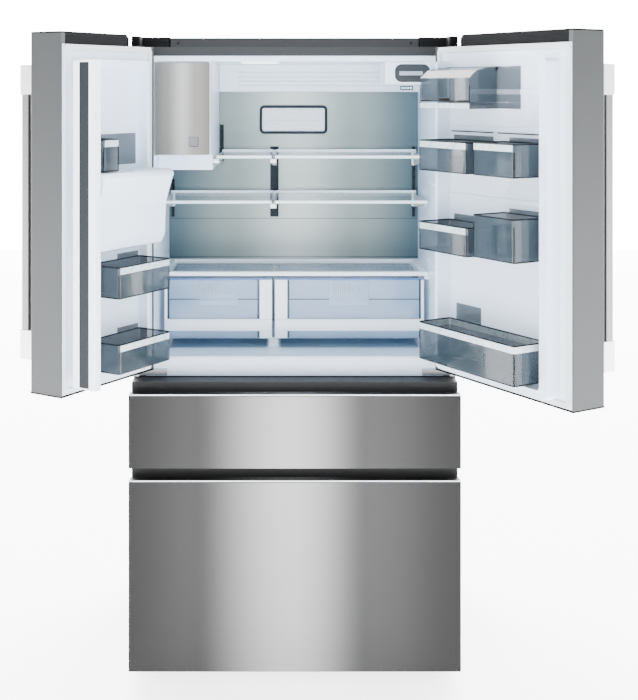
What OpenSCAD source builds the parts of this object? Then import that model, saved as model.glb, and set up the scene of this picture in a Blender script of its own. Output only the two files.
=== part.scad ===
// Four-door French door refrigerator, 908 mm wide, with both fresh-food doors
// swung open. Millimetres. +Z is up, the case is centred on X = 0, the floor is
// Z = 0 and the closed doors' outer face is the plane Y = 0.

/* [Case] */
// Outside width of the case
case_w = 908; // [800:1:1100]
// Depth of the insulated case without its doors
case_d = 620; // [560:1:760]
// Height of the case above the floor
case_h = 1750; // [1720:1:2100]
// Thickness of the insulated side walls
wall_t = 54.5; // [45:0.5:70]
// Thickness of the insulated rear wall with its air duct
rear_t = 143; // [120:1:160]
// Steel sheet of the case
sheet_t = 1; // [0.6:0.1:2]
// Wall of the moulded liners
liner_t = 2.5; // [2:0.1:4]
// Height of the trim and hinge covers above the case
trim_h = 27; // [24:1:40]

/* [Doors] */
// Width of the left door
left_w = 372; // [340:1:450]
// Gap between the two closed doors
door_gap = 5; // [4:0.5:8]
// Depth of a door's steel shell
door_t = 104; // [90:1:130]
// Thickness of the door seals
gasket_t = 8; // [6:0.5:12]
// Angle at which the left door stands open
left_open = 122; // [100:1:124]
// Angle at which the right door stands open
right_open = 121; // [100:1:124]
// Hinge pin from the outer side edge of the door
pin_x_in = 12.4; // [10:0.1:14]
// Hinge pin behind the front face of the door
pin_y = 49; // [44:1:54]
// Radius of the hinge pins
pin_r = 5; // [4:0.5:6]
// Radial clearance of every running pin
pin_clear = 0.06; // [0.02:0.01:0.1]

/* [Drawers] */
// Height of the drawer fronts' lower edge above the floor
toe_h = 40; // [34:1:60]
// Height of the freezer drawer's steel front
freezer_front_h = 522; // [440:1:640]
// Height of the middle drawer's steel front
flex_front_h = 202; // [165:1:240]
// Dark finger gap above a drawer front
drawer_gap = 33; // [28:1:45]
// Depth of a drawer's steel front
front_t = 30; // [24:1:34]
// Distance that a drawer's core rises over its steel front
core_rise = 23; // [18:1:28]
// Gap between the middle drawer's core and the doors, for the middle hinges
hinge_gap = 38; // [30:1:45]
// Running clearance between a drawer or bin and what it slides past
slide_clear = 1; // [0.5:0.5:3]

/* [Fresh food compartment] */
// Upper glass shelf below the ceiling
shelf_one_drop = 277; // [262:1:330]
// Lower glass shelf below the ceiling
shelf_two_drop = 408; // [380:1:430]
// Height of the crisper drawers
crisper_h = 178; // [140:1:190]
// Crisper fronts behind the case front
crisper_in = 172; // [165:1:200]
// Shelf front edges behind the case front
shelf_in = 118; // [116:1:180]
// Thickness of the glass panes
glass_t = 4; // [3:0.5:6]
// Centre of the middle shelf ladder to the right of the door split
ladder_off = 18; // [0:1:40]

/* [Ice maker and filter] */
// Width of the ice compartment
ice_w = 160; // [140:1:190]
// Height of the ice compartment
ice_h = 315; // [280:1:330]
// Ice compartment's front behind the case front
ice_in = 38; // [34:1:60]
// Width of the water filter housing
filter_w = 133; // [110:1:150]
// Radius of the water filter cartridge
filter_r = 25; // [20:1:27]

/* [Hidden] */
$fn = 48;

// Hairline gap that keeps neighbouring pieces apart
hair = 0.3;
// Clear gap between a closed door's seal and the case
seal_gap = 1;

// Case
half_w = case_w / 2;
y_case = door_t + gasket_t + seal_gap;
y_back = y_case + case_d;
x_in = half_w - wall_t;
y_rear = y_back - rear_t;
flange_w = 34;
flange_h = 25;
case_z0 = 30;

// Heights, from the floor up
freezer_z0 = toe_h;
freezer_z1 = freezer_z0 + freezer_front_h;
flex_z0 = freezer_z1 + drawer_gap;
flex_z1 = flex_z0 + flex_front_h;
door_z0 = flex_z1 + core_rise + hinge_gap;
door_z1 = case_h + trim_h;
floor_z = door_z0 + 5;
sill_z = door_z0 + 15;
ceil_z = case_h - 40;
freezer_cav = [110, flex_z0 - 25];
flex_cav = [flex_z0 + 25, flex_z1 + 2];

// Machine compartment under the freezer's rear step
step_y = y_case + 357;
step_z = 310;

// Base
rail_x = half_w - 44;
leg_x = half_w - 74;
leg_y = y_case + 60;
roller_r = 20;
axle_r = 4;
roller_x = half_w - 24;
roller_y = y_back - 60;
fan_x = -20;
fan_y = step_y + 125;
fan_z = case_z0 + 80;

// Doors
right_w = case_w - left_w - door_gap;
pin_x = half_w - pin_x_in;
split_x = -half_w + left_w + door_gap / 2;
seal_in = 16;
seal_free = 3;
seal_w = 16;
seal_z0 = door_z0 + 7;
seal_z1 = door_z1 - 32;
y_panel = door_t + hair;
dike_w = 10;
left_dike = 30;
right_dike = 45;

// Shelves and crispers
mid_x = split_x + ladder_off;
shelf_one_z = ceil_z - shelf_one_drop;
shelf_two_z = ceil_z - shelf_two_drop;
crisper_z0 = sill_z + 19;
crisper_z1 = crisper_z0 + crisper_h;
crisper_y = y_case + crisper_in;
cover_z = crisper_z1 + 6;
y_wall = y_rear - 4;
ladder_t = 8;
y_ladder = y_wall - ladder_t;
shelf_y1 = y_ladder - 12;
door_clear_x = x_in - 15;

// Ice compartment
ice_x0 = -x_in + 0.5;
ice_x1 = ice_x0 + ice_w;
ice_y0 = y_case + ice_in;
ice_z0 = ceil_z - 0.5 - ice_h;
ice_z1 = ceil_z - 0.5;
ice_step_y = y_case + 129;
ice_step_z = ice_z0 + 46;
ice_wall = 3;
ice_hinge = [ice_x0 + 5, ice_y0 - 6];
ice_cover_x1 = ice_x0 + ice_w - 3;
ice_button_x = ice_x1 - 50;
ice_button_z = ice_z0 + 87;

// Water filter
filter_x1 = x_in - 1.5;
filter_x0 = filter_x1 - filter_w;
filter_y0 = y_case + 112;
filter_z0 = ceil_z - 65;
filter_z1 = ceil_z - 0.5;
filter_cx = (filter_x0 + filter_x1) / 2;
filter_cz = (filter_z0 + filter_z1) / 2;
filter_len = 240;

// ---------------------------------------------------------------- helpers

// Block between two opposite corners
module block(x, y, z) {
  translate([x[0], y[0], z[0]]) cube([x[1] - x[0], y[1] - y[0], z[1] - z[0]]);
}

// Flat rectangle with round corners, between two opposite corners
module round_rect(x, y, r) {
  translate([x[0] + r, y[0]]) square([x[1] - x[0] - 2 * r, y[1] - y[0]]);
  translate([x[0], y[0] + r]) square([x[1] - x[0], y[1] - y[0] - 2 * r]);
  for (cx = [x[0] + r, x[1] - r], cy = [y[0] + r, y[1] - r]) translate([cx, cy]) circle(r);
}

// Upright block whose vertical edges are round
module pillar(x, y, z, r) {
  translate([0, 0, z[0]]) linear_extrude(z[1] - z[0]) round_rect(x, y, r);
}

// Plate facing front, round in its XZ outline
module front_plate(x, y, z, r) {
  translate([0, y[1], 0]) rotate([90, 0, 0]) linear_extrude(y[1] - y[0]) round_rect(x, z, r);
}

// Outline in the YZ plane carried along X
module side_extrude(x) {
  translate([x[0], 0, 0]) rotate([90, 0, 90]) linear_extrude(x[1] - x[0]) children();
}

// Open-topped bin with round upright edges
module tub(x, y, z, t, r) {
  difference() {
    pillar(x, y, z, r);
    pillar([x[0] + t, x[1] - t], [y[0] + t, y[1] - t], [z[0] + t, z[1] + 1], max(r - t, 0.5));
  }
}

// Left-hand door: X runs from the hinge edge to the free edge
module left_place() {
  translate([-pin_x, pin_y, 0]) rotate([0, 0, -left_open])
    translate([-pin_x_in, -pin_y, 0]) children();
}

// Right-hand door: the mirror image, so X again runs from hinge edge to free edge
module right_place() {
  translate([pin_x, pin_y, 0]) rotate([0, 0, right_open])
    translate([pin_x_in, -pin_y, 0]) mirror([1, 0, 0]) children();
}

// ---------------------------------------------------------------- case

module side_panel() {
  block([-half_w, -half_w + sheet_t], [y_case, y_back - sheet_t - hair], [case_z0, case_h]);
  block([-half_w, -half_w + flange_w], [y_case, y_case + sheet_t], [case_z0, case_h]);
}

module case_panels() {
  color("#8f9294") {
    side_panel();
    mirror([1, 0, 0]) side_panel();
    x = half_w - sheet_t - hair;
    block([-x, x], [y_case + sheet_t + hair, y_back - sheet_t - hair], [case_h - sheet_t, case_h]);
    xf = half_w - flange_w - hair;
    block([-xf, xf], [y_case, y_case + sheet_t + hair + 1], [case_h - flange_h, case_h]);
  }
  color("#a6a8a8") difference() {
    block([-half_w, half_w], [y_back - sheet_t, y_back], [case_z0 + 30, case_h]);
    // Ventilation louvres of the machine compartment
    for (i = [0:7]) block([-230 + 60 * i, -190 + 60 * i], [y_back - 5, y_back + 1], [230, 236]);
    for (i = [0:7]) block([-230 + 60 * i, -190 + 60 * i], [y_back - 5, y_back + 1], [210, 216]);
  }
}

module insulation() {
  x = half_w - sheet_t - hair;
  y0 = y_case + liner_t + 1;
  y1 = y_back - sheet_t - hair;
  c = liner_t + hair;
  color("#d8cf9c") difference() {
    block([-x, x], [y0, y1], [freezer_cav[0] - 20, case_h - sheet_t - hair]);
    block([-x_in - c, x_in + c], [0, y_rear + c], [floor_z - c, ceil_z + c]);
    block([-x_in - c, x_in + c], [0, y_rear + c], [flex_cav[0] - c, flex_cav[1] + c]);
    block([-x_in - c, x_in + c], [0, y_rear + c], [step_z - c, freezer_cav[1] + c]);
    block([-x_in - c, x_in + c], [0, step_y + c], [freezer_cav[0] - c, step_z + c]);
    block([-half_w, half_w], [step_y + 30, y_back], [0, step_z - 30]);
    block([-half_w, half_w], [0, y_case + 40], [flex_cav[1] + hair, sill_z]);
    block([-half_w, half_w], [0, y_case + 40], [freezer_cav[1] + hair, flex_cav[0] - hair]);
    block([-half_w, half_w], [0, y_case + 40], [0, freezer_cav[0]]);
    block([-half_w, half_w], [0, y_case + 6], [case_h - flange_h - 1, case_h]);
  }
}

module fridge_liner() {
  xf = half_w - flange_w - hair;
  color("#eef2f5") difference() {
    union() {
      block([-x_in - liner_t, x_in + liner_t], [y_case, y_rear + liner_t],
            [floor_z - liner_t, ceil_z + liner_t]);
      block([-xf, xf], [y_case, y_case + liner_t], [flex_z1 + core_rise + 2, case_h - flange_h - hair]);
    }
    block([-x_in, x_in], [y_case + 15, y_rear], [floor_z, ceil_z]);
    block([-x_in, x_in], [y_case - 1, y_case + 16], [sill_z, ceil_z]);
  }
}

module drawer_liners() {
  c = liner_t;
  xf = half_w - flange_w - hair;
  color("#eef2f5") {
    difference() {
      union() {
        block([-x_in - c, x_in + c], [y_case, y_rear + c], [flex_cav[0] - c, flex_cav[1] + c]);
        block([-xf, xf], [y_case, y_case + c], [flex_cav[0] - c, flex_cav[1] + c]);
      }
      block([-x_in, x_in], [y_case - 1, y_rear], [flex_cav[0], flex_cav[1]]);
    }
    difference() {
      union() {
        block([-x_in - c, x_in + c], [y_case, y_rear + c], [step_z - c, freezer_cav[1] + c]);
        block([-x_in - c, x_in + c], [y_case, step_y + c], [freezer_cav[0] - c, step_z]);
        block([-xf, xf], [y_case, y_case + c], [freezer_cav[0] - c, freezer_cav[1] + c]);
      }
      block([-x_in, x_in], [y_case - 1, y_rear], [step_z, freezer_cav[1]]);
      block([-x_in, x_in], [y_case - 1, step_y], [freezer_cav[0], step_z + 1]);
    }
  }
}

module crossbars() {
  xf = half_w - flange_w - hair;
  c = liner_t + hair;
  color("#4a4d50") for (z = [
    [flex_cav[1] + c, flex_z1 + core_rise + 2 - hair],
    [freezer_cav[1] + c, flex_cav[0] - c],
    [freezer_cav[0] - 45, freezer_cav[0] - c]
  ]) block([-xf, xf], [y_case, y_case + 38], z);
}

module top_trim() {
  x = half_w - 104;
  color("#5b5e61") difference() {
    block([-x, x], [y_case, y_case + 60], [case_h, case_h + trim_h - 2]);
    block([-x + 3, x - 3], [y_case + 3, y_case + 61], [case_h - 1, case_h + trim_h - 5]);
  }
}

// Hollow cover over one top hinge, with a nose that follows the hinge arm
module hinge_cover() {
  z = [case_h, case_h + trim_h];
  x0 = -half_w + 2;
  difference() {
    union() {
      pillar([x0, x0 + 100], [y_case, y_case + 120], z, 6);
      pillar([-pin_x - 10, -pin_x + 14], [pin_y - 12, y_case + 20], z, 8);
    }
    block([x0 + 3, x0 + 97], [y_case + 3, y_case + 117], [case_h - 1, case_h + trim_h - 3]);
    pillar([-pin_x - 8, -pin_x + 12], [pin_y - 10, y_case + 20], [case_h - 1, case_h + 8], 5);
  }
}

module hinge_covers() {
  color("#4d5053") {
    hinge_cover();
    mirror([1, 0, 0]) hinge_cover();
  }
}

module top_hinge() {
  pillar([-pin_x - 7, -pin_x + 11], [pin_y - 9, y_case + 100], [case_h + hair, case_h + 5], 5);
  pillar([-pin_x + 5, -pin_x + 72], [y_case + 20, y_case + 100], [case_h + hair, case_h + 5], 5);
  translate([-pin_x, pin_y, door_z1 - 62]) cylinder(r = pin_r, h = case_h + 4 - door_z1 + 62);
}

module middle_hinge() {
  z = flex_z1 + core_rise;
  pillar([-pin_x - 10, -pin_x + 14], [pin_y - 10, y_case - 2], [z + 18, z + 22], 8);
  block([-pin_x - 8, -pin_x + 82], [y_case - 4, y_case - hair], [z + 4, z + 22]);
  translate([-pin_x, pin_y, z + 20]) cylinder(r = pin_r, h = door_z0 + 38 - z - 20);
}

module door_hinges() {
  color("#b9bcbe") {
    top_hinge();
    mirror([1, 0, 0]) top_hinge();
    middle_hinge();
    mirror([1, 0, 0]) middle_hinge();
  }
}

module base_frame() {
  color("#3c3f42") difference() {
    union() {
      block([-half_w + 2, half_w - 2], [y_case + 2, y_back - 2], [case_z0 + 2, case_z0 + 4]);
      for (s = [-1, 1]) block([s * rail_x - 8, s * rail_x + 8], [y_case + 4, y_back - 20], [12, case_z0 + 2]);
      block([-half_w + 4, half_w - 4], [y_case + 4, y_case + 34], [case_z0 + 4, freezer_cav[0] - 46]);
    }
    translate([-half_w, roller_y, roller_r]) rotate([0, 90, 0])
      cylinder(r = axle_r + pin_clear, h = case_w);
    for (s = [-1, 1]) translate([s * leg_x, leg_y, case_z0]) cylinder(r = 6, h = 20);
    for (s = [-1, 1]) block([s * roller_x - 11, s * roller_x + 11], [roller_y - 25, roller_y + 25],
                            [case_z0, case_z0 + 6]);
  }
  color("#3c3f42") {
    block([fan_x - 16, fan_x - 10], [fan_y - 12, fan_y + 12], [case_z0 + 3, fan_z + 12]);
    translate([fan_x - 12, fan_y, fan_z]) rotate([0, 90, 0]) cylinder(r = 3, h = 36);
  }
}

module toe_grille() {
  color("#232527") difference() {
    block([-half_w + 14, half_w - 14], [y_case - 7, y_case - 1], [8, toe_h - 4]);
    for (i = [-9:9]) block([44 * i - 16, 44 * i + 16], [y_case - 10, y_case + 2], [18, 26]);
  }
  color("#232527") for (s = [-1, 1]) block([s * rail_x - 6, s * rail_x + 6], [y_case - 1, y_case + 4], [13, 17]);
}

module levelling_legs() {
  color("#6e7174") for (s = [-1, 1]) translate([s * leg_x, leg_y, 0]) {
    cylinder(r = 19, h = 7);
    cylinder(r = 5.7, h = case_z0 + 12);
  }
}

module rear_rollers() {
  color("#55585a") translate([0, roller_y, roller_r]) rotate([0, 90, 0]) {
    translate([0, 0, -roller_x - 9]) cylinder(r = axle_r, h = 2 * roller_x + 18);
    for (x = [-roller_x, roller_x]) translate([0, 0, x - 7.5]) cylinder(r = roller_r, h = 15);
  }
}

module compressor() {
  color("#1d1f21") translate([-270, step_y + 130, case_z0 + 4 + hair]) {
    rotate_extrude() polygon([[0, 0], [78, 0], [82, 10], [82, 120], [74, 142], [52, 158], [0, 164]]);
    for (a = [45:90:315]) rotate([0, 0, a]) translate([70, -14, 0]) cube([38, 28, 4]);
  }
}

module condenser() {
  y0 = step_y + 50;
  z0 = case_z0 + 4 + hair;
  color("#7a5a3c") {
    block([60, 250], [y0, y0 + 8], [z0, z0 + 130]);
    block([60, 250], [y0 + 142, y0 + 150], [z0, z0 + 130]);
    for (i = [0:9]) block([60 + 20 * i, 62 + 20 * i], [y0 + 7, y0 + 143], [z0 + 4, z0 + 126]);
    for (z = [24:27:120]) translate([60, y0 + 75, z0 + z]) rotate([0, 90, 0]) cylinder(r = 5, h = 190);
  }
}

module condenser_fan() {
  color("#2b2d2f") translate([fan_x, fan_y, fan_z]) rotate([0, 90, 0]) difference() {
    union() {
      translate([0, 0, -8]) cylinder(r = 16, h = 32);
      for (a = [0:72:288]) rotate([0, 0, a]) translate([10, -12, 4]) rotate([20, 0, 0]) cube([44, 26, 2]);
    }
    translate([0, 0, -9]) cylinder(r = 3 + pin_clear, h = 34);
  }
}

module rear_ports() {
  color("#26282a") {
    block([300, 352], [y_back + hair, y_back + 12], [120, 160]);
    difference() {
      block([302, 350], [y_back + 12, y_back + 22], [124, 156]);
      block([308, 344], [y_back + 14, y_back + 23], [130, 150]);
    }
    translate([-330, y_back + hair, 130]) rotate([-90, 0, 0]) cylinder(r = 22, h = 12);
    translate([-330, y_back + 10, 130]) rotate([-90, 0, 0]) cylinder(r = 9.5, h = 22);
  }
}

// ---------------------------------------------------------------- fresh food compartment

module rear_wall_panel() {
  color("#b7bbb8") block([-x_in + 1, x_in - 1], [y_wall, y_wall + 3], [floor_z + 6, ceil_z - 89]);
}

module duct_panel() {
  x = [ice_x1 + 2, x_in - 1];
  color("#eef2f5") difference() {
    block(x, [y_wall - 20, y_wall + 3], [ceil_z - 88, ceil_z - 0.5]);
    for (i = [0:3]) block([x[0] + 60, x[1] - 60], [y_wall - 21, y_wall - 14],
                          [ceil_z - 70 + 14 * i, ceil_z - 65 + 14 * i]);
  }
}

// Slotted steel upright: x is its centre, rows its columns of slots
module ladder(x, w, z, rows) {
  difference() {
    block([x - w / 2, x + w / 2], [y_ladder, y_wall - 0.2], z);
    for (r = [0:rows - 1], k = [0:floor((z[1] - z[0] - 20) / 25)])
      translate([x + (r - (rows - 1) / 2) * 12 - 2, y_ladder - 1, z[0] + 8 + 25 * k]) cube([4, 7, 15]);
  }
}

ladder_z = [shelf_two_z - 80, shelf_one_z + 13];
module shelf_ladders() {
  color("#4a5560") {
    ladder(mid_x, 26.6, ladder_z, 2);
    ladder(-x_in + 13, 10, [ladder_z[0], ice_z0 - 52], 1);
    ladder(x_in - 15, 10, ladder_z, 1);
    ladder(ice_x1 + 9, 12, [shelf_one_z - 33, shelf_one_z + 83], 1);
  }
}

// Outline of one cantilever arm, from its root on the ladder to the front
module arm_outline(z, y0) {
  polygon([[y_ladder - hair, z], [y_ladder - hair, z - 44], [y_ladder - 26, z - 40],
           [y0 + 20, z - 15], [y0, z - 12], [y0, z]]);
}

module arm(x, z, y0) { side_extrude([x - 1.5, x + 1.5]) arm_outline(z, y0); }

shelf_y0 = y_case + shelf_in;
module shelf_brackets() {
  z1 = shelf_one_z - glass_t - hair;
  z2 = shelf_two_z - glass_t - hair;
  color("#c9d2d8") {
    for (x = [ice_x1 + 9, mid_x - 6, mid_x + 6, x_in - 15]) arm(x, z1, shelf_y0 + 36);
    for (x = [-x_in + 13, mid_x - 6, mid_x + 6, x_in - 15]) arm(x, z2, shelf_y0 + 20);
  }
}

// The shelf panes: [x range, y range, top height]
panes = [
  [[ice_x1 + 11, mid_x - 5], [shelf_y0 + 30, shelf_y1], shelf_one_z],
  [[mid_x + 5, x_in - 9], [shelf_y0 + 30, shelf_y1], shelf_one_z],
  [[-x_in + 8, mid_x - 5], [shelf_y0 + 14, shelf_y1], shelf_two_z],
  [[mid_x + 5, x_in - 9], [shelf_y0 + 14, shelf_y1], shelf_two_z],
];
cover_y = [crisper_y + 5, y_wall - 8];
module shelf_glass() {
  color([0.75, 0.88, 0.9, 0.5]) {
    for (p = panes) block(p[0], p[1], [p[2] - glass_t, p[2]]);
    block([-x_in + 22, x_in - 22], [cover_y[0] + 22, cover_y[1] - 20], [cover_z + 2, cover_z + 2 + glass_t]);
  }
}

module shelf_trims() {
  color("#f2f6f8") {
    for (p = panes) {
      block(p[0], [p[1][0] - 12, p[1][0] - hair], [p[2] - 7, p[2] + 2.5]);
      block(p[0], [p[1][1] + hair, p[1][1] + 7], [p[2] - glass_t, p[2] + 5]);
    }
    difference() {
      block([-x_in + 1, x_in - 1], cover_y, [cover_z, cover_z + 12]);
      block([-x_in + 30, x_in - 30], [cover_y[0] + 30, cover_y[1] - 28], [cover_z - 1, cover_z + 13]);
      block([-x_in + 22 - hair, x_in - 22 + hair], [cover_y[0] + 22 - hair, cover_y[1] - 20 + hair],
            [cover_z + 2 - hair, cover_z + 13]);
    }
  }
}

module crisper_rails() {
  z = [floor_z + 0.2, crisper_z0 - 0.5];
  y = [y_case + 60, y_wall - 20];
  color("#dfe6ea") {
    block([mid_x - 14, mid_x + 14], [y_case + 195, y[1]], z);
    for (s = [-1, 1]) {
      a = s * (x_in - 0.3);
      b = s * (x_in - 30);
      block([min(a, b), max(a, b)], y, z);
      c = s * (x_in - 13);
      block([min(a, c), max(a, c)], [crisper_y + 5, y_wall - 8], [crisper_z1 - 4, cover_z - 0.5]);
    }
  }
}

// Crisper drawer, open at the top, with a thicker front
module crisper(x) {
  y = [crisper_y, y_wall - 22];
  z = [crisper_z0, crisper_z1];
  difference() {
    union() {
      pillar(x, y, z, 6);
      front_plate([x[0], x[1]], [y[0], y[0] + 8], z, 6);
    }
    pillar([x[0] + 9, x[1] - 9], [y[0] + 9, y[1] - 3], [z[0] + 3, z[1] + 1], 8);
    // Hand slot behind the handle bar
    block([x[0] + 9, x[1] - 9], [y[0] + 5, y[0] + 10], [z[0] + 70, z[1] + 1]);
  }
}

module crisper_left() { color([0.75, 0.82, 0.9, 0.6]) crisper([-door_clear_x, mid_x - 3.5]); }
module crisper_right() { color([0.75, 0.82, 0.9, 0.6]) crisper([mid_x + 3.5, door_clear_x]); }

// ---------------------------------------------------------------- ice maker and filter

module ice_box() {
  w = ice_wall;
  color("#eef2f5") difference() {
    union() {
      block([ice_x0, ice_x1], [ice_y0, y_wall - 1], [ice_step_z, ice_z1]);
      block([ice_x0, ice_x1], [ice_step_y, y_wall - 1], [ice_z0, ice_step_z + 1]);
      // Ears that carry the cover's hinge pins
      for (z = [ice_z1 - 2.4, ice_step_z])
        translate([ice_hinge[0], ice_hinge[1], z]) {
          cylinder(r = 3.5, h = 2.4);
          translate([-3.5, 0, 0]) cube([7, 7, 2.4]);
        }
    }
    block([ice_x0 + w, ice_x1 - w], [ice_y0 - 1, y_wall - 1 - w], [ice_step_z + w, ice_z1 - w]);
    block([ice_x0 + w, ice_x1 - w], [ice_step_y + w, y_wall - 1 - w], [ice_z0 + w, ice_step_z + w + 1]);
    translate([ice_hinge[0], ice_hinge[1], ice_z0]) cylinder(r = 1.5 + pin_clear, h = ice_h + 1);
  }
}

module ice_maker() {
  x = [ice_x0 + 10, ice_x1 - 50];
  y = [y_wall - 190, y_wall - 1 - ice_wall];
  color("#9aa4ab") difference() {
    union() {
      block(x, y, [ice_z1 - 90, ice_z1 - 25]);
      block([x[0], x[1] + 30], [y[0] - 40, y[0]], [ice_z1 - 100, ice_z1 - 12]);
    }
    for (i = [0:6]) block([x[0] + 6, x[1] - 6], [y[0] + 6 + 24 * i, y[0] + 25 + 24 * i],
                          [ice_z1 - 70, ice_z1 - 20]);
  }
}

module ice_bin() {
  color([0.9, 0.94, 0.97, 0.7])
    tub([ice_x0 + 8, ice_x1 - 8], [ice_y0 + 10, y_wall - 14], [ice_step_z + ice_wall + hair, ice_step_z + 150], 2.5, 8);
}

module ice_cover() {
  x = [ice_hinge[0] - 2.8, ice_cover_x1];
  y = [ice_hinge[1] - 4, ice_hinge[1] + 3.5];
  z = [ice_step_z + 3.2, ice_z1 - 3.2];
  b = ice_button_x;
  color("#b4b6b6") difference() {
    union() {
      front_plate(x, y, z, 3);
      translate([ice_hinge[0], ice_hinge[1], ice_step_z + 0.8]) cylinder(r = 1.5, h = ice_z1 - ice_step_z - 1.6);
    }
    front_plate([b - 12.5, b + 12.5], [y[0] - 1, y[1] + 1], [ice_button_z - 13.5, ice_button_z + 13.5], 3);
  }
}

module ice_button() {
  b = ice_button_x;
  y = ice_hinge[1] - 4;
  c = 0.5;
  color("#dfe1e2")
    front_plate([b - 12.5 + c, b + 12.5 - c], [y - 1.5, y + 5], [ice_button_z - 13.5 + c, ice_button_z + 13.5 - c], 2.5);
}

module filter_housing() {
  color("#eef2f5") difference() {
    block([filter_x0, filter_x1], [filter_y0, filter_y0 + filter_len + 40], [filter_z0, filter_z1]);
    translate([filter_cx, filter_y0 - 1, filter_cz]) rotate([-90, 0, 0])
      cylinder(r = filter_r + slide_clear, h = filter_len + 21);
    front_plate([filter_x0 + 28, filter_x1 - 2], [filter_y0 - 1, filter_y0 + 4],
                [filter_z0 + 6, filter_z1 - 6], 20);
  }
}

module filter_cartridge() {
  c = 0.6;
  color("#8c8f90") {
    front_plate([filter_x0 + 28 + c, filter_x1 - 2 - c], [filter_y0 - 2, filter_y0 + 3.4],
                [filter_z0 + 6 + c, filter_z1 - 6 - c], 19);
    translate([filter_cx, filter_y0 + 3, filter_cz]) rotate([-90, 0, 0]) cylinder(r = filter_r, h = filter_len);
  }
}

// ---------------------------------------------------------------- doors

// Steel wrap of one door: front, both sides and the rear return lips
module door_skin(w, cut) {
  z = [door_z0 + 4, door_z1 - 4];
  t = sheet_t;
  color("#b0b1b1") difference() {
    union() {
      pillar([0, w], [0, 20], z, 4);
      block([0, w], [10, door_t], z);
    }
    pillar([t, w - t], [t, 20], [z[0] - 1, z[1] + 1], 3);
    block([t, w - t], [10, door_t - t], [z[0] - 1, z[1] + 1]);
    block([14, w - 14], [door_t - 2, door_t + 1], [z[0] - 1, z[1] + 1]);
    // Notch at the top hinge
    block([-1, notch_w], [notch_y, door_t + 1], [notch_z, z[1] + 1]);
    if (cut) block(disp_x, [-1, t + 1], disp_z);
  }
}

notch_w = 112;
notch_y = 16;
notch_z = case_h - 3;

// Closing caps at the top and bottom of one door, with the hinge bushes
module door_caps(w) {
  c = hair;
  t = sheet_t + c;
  bush = [pin_x_in, pin_y];
  color("#3c3e42") difference() {
    union() {
      // Top cap: plate, rear face and the stepped floor under the hinge arm
      block([t, w - t], [t, door_t - t], [door_z1 - 4 + c, door_z1]);
      block([t, w - t], [door_t - 6, door_t - t], [seal_z1, door_z1]);
      block([t + 1, notch_w + 3], [t + 1, door_t - t], [notch_z - 4, notch_z - c]);
      block([notch_w + c, notch_w + 3], [t, door_t - t], [notch_z - 4, door_z1]);
      block([t + 1, notch_w + 3], [t + 1, notch_y - c], [notch_z - 4, door_z1]);
      translate([bush[0], bush[1], door_z1 - 66]) cylinder(r = 10, h = notch_z - door_z1 + 66 - c);
      // Bottom cap
      block([0, w], [0, door_t], [door_z0, door_z0 + 4 - c]);
      translate([bush[0], bush[1], door_z0]) cylinder(r = 10, h = 42);
    }
    block([-1, notch_w + c], [notch_y - c, door_t + 1], [notch_z - c, door_z1 + 1]);
    translate([bush[0], bush[1], door_z1 - 62 - 0.5]) cylinder(r = pin_r + pin_clear, h = 100);
    translate([bush[0], bush[1], door_z0 - 1]) cylinder(r = pin_r + pin_clear, h = 40);
  }
}

// Outer outline of a door's dike, which enters the case opening, and the recess inside it
function dike_x(w, free_in) = [wall_t + 2.5, w - seal_free - free_in];
dike_z = [seal_z0 + seal_w + 1, ceil_z - 3];
left_free = 35;
left_block = 26;
right_free = 40;
right_block = 26;
left_rx = [wall_t + 2.5 + dike_w, left_w - seal_free - left_free - left_block];
right_rx = [wall_t + 2.5 + dike_w, right_w - seal_free - right_free - right_block];

// Moulded inner panel of one door: flange, raised dike of height h and the recess.
// rail is the height of the dike's top rail; 0 leaves the recess open at the top
module door_panel(w, free_in, ix, h, rail) {
  y = [y_panel, y_panel + liner_t];
  ox = dike_x(w, free_in);
  oz = dike_z;
  iz = [oz[0] + 2 * dike_w, rail > 0 ? oz[1] - rail : oz[1] + 20];
  t = liner_t;
  difference() {
    union() {
      block([seal_in, w - seal_free], y, [seal_z0, seal_z1]);
      front_plate(ox, [y[0], y_panel + h], oz, 14);
    }
    front_plate(ix, [y[1], y_panel + h + 1], iz, 10);
    difference() {
      front_plate([ox[0] + t, ox[1] - t], [y[0] - 1, y_panel + h - t], [oz[0] + t, oz[1] - t], 11);
      front_plate([ix[0] - t, ix[1] + t], [y[0] - 2, y_panel + h + 2], [iz[0] - t, iz[1] + t], 12);
    }
  }
}

// Ice chute housing on the left door's inner side, in profile
chute_z1 = ice_z0 + 25;
chute_z0 = chute_z1 - 215;
module chute_outline() {
  y = y_panel + liner_t;
  polygon([[y - 1, chute_z0], [y + 68, chute_z0 + 18], [y + 80, chute_z0 + 40], [y + 84, chute_z1 - 90],
           [y + 109, chute_z1 - 14], [y + 97, chute_z1], [y - 1, chute_z1]]);
  translate([y + 97, chute_z1 - 13]) circle(13);
}

// Two ears and a pin at one of the folding mullion's hinges
module mullion_ear(z) {
  for (e = [z - 5, z + ear_gap + 1]) {
    translate([mull_pivot_x, mull_pivot_y, e]) cylinder(r = 3.6, h = 4);
    block([mull_pivot_x - 12, mull_pivot_x], [mull_pivot_y - 3.6, mull_pivot_y + 3.6], [e, e + 4]);
  }
  translate([mull_pivot_x, mull_pivot_y, z - 4]) cylinder(r = 1.5, h = ear_gap + 8);
}

module left_door_liner() {
  dx = dike_x(left_w, left_free);
  color("#eaeff3") {
    door_panel(left_w, left_free, left_rx, left_dike, 2 * dike_w);
    difference() {
      side_extrude([dx[0] + 1, dx[1]]) chute_outline();
      // Ice passage from the top of the housing down into the dispenser
      translate([(dx[0] + dx[1]) / 2, y_panel + liner_t + 60, chute_z1 - 60]) cylinder(r = 26, h = 80);
    }
    for (z = ear_z) mullion_ear(z);
  }
}

module right_door_liner() {
  color("#eaeff3") door_panel(right_w, right_free, right_rx, right_dike, 0);
}

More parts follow.
